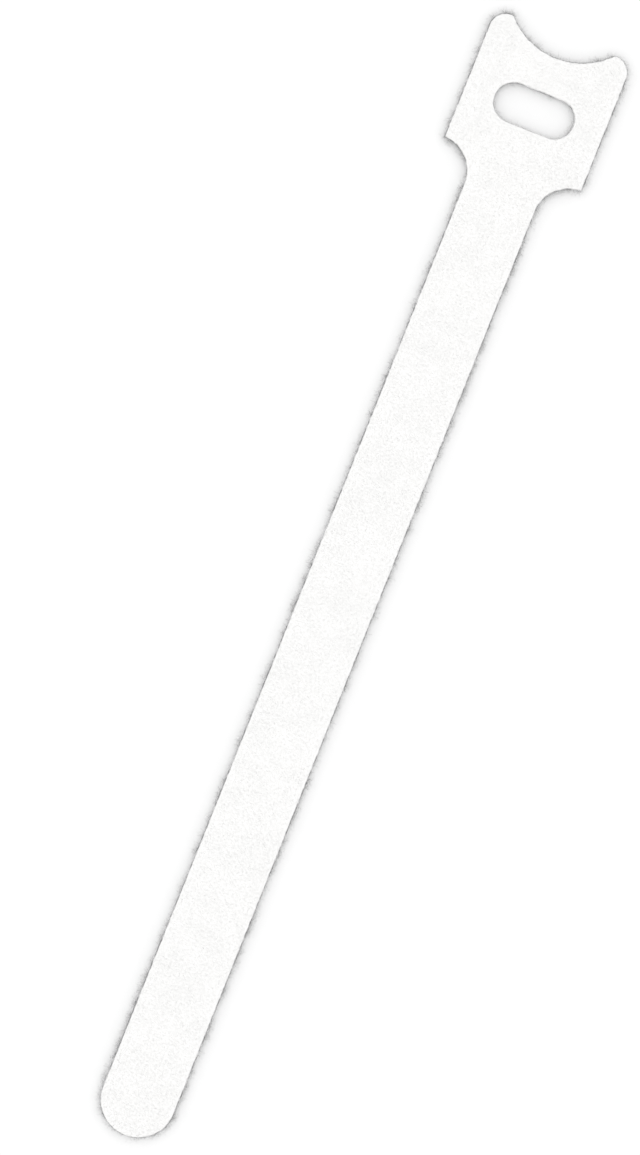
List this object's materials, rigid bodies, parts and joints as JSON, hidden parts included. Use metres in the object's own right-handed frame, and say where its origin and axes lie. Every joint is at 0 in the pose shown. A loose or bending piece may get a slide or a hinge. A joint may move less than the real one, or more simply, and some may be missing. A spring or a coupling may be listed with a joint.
{
  "type": "hook and loop cable tie",
  "caption": "Flat white hook and loop cable tie: a strap with a half-round tip and a wide, slotted, scooped head that the strap's own tail threads through.",
  "frame": {"origin": "middle of the surface that the flat tie lies on", "axes": "+X along the strap towards the head, +Z out of the loop face, hooks down"},
  "size_m": [0.2, 0.025, 0.0014],
  "materials": {
    "tape": "matte white loop pile over a moulded hook film"
  },
  "bodies": {
    "root": {"cable_tie": "tape"}
  },
  "joints": []
}
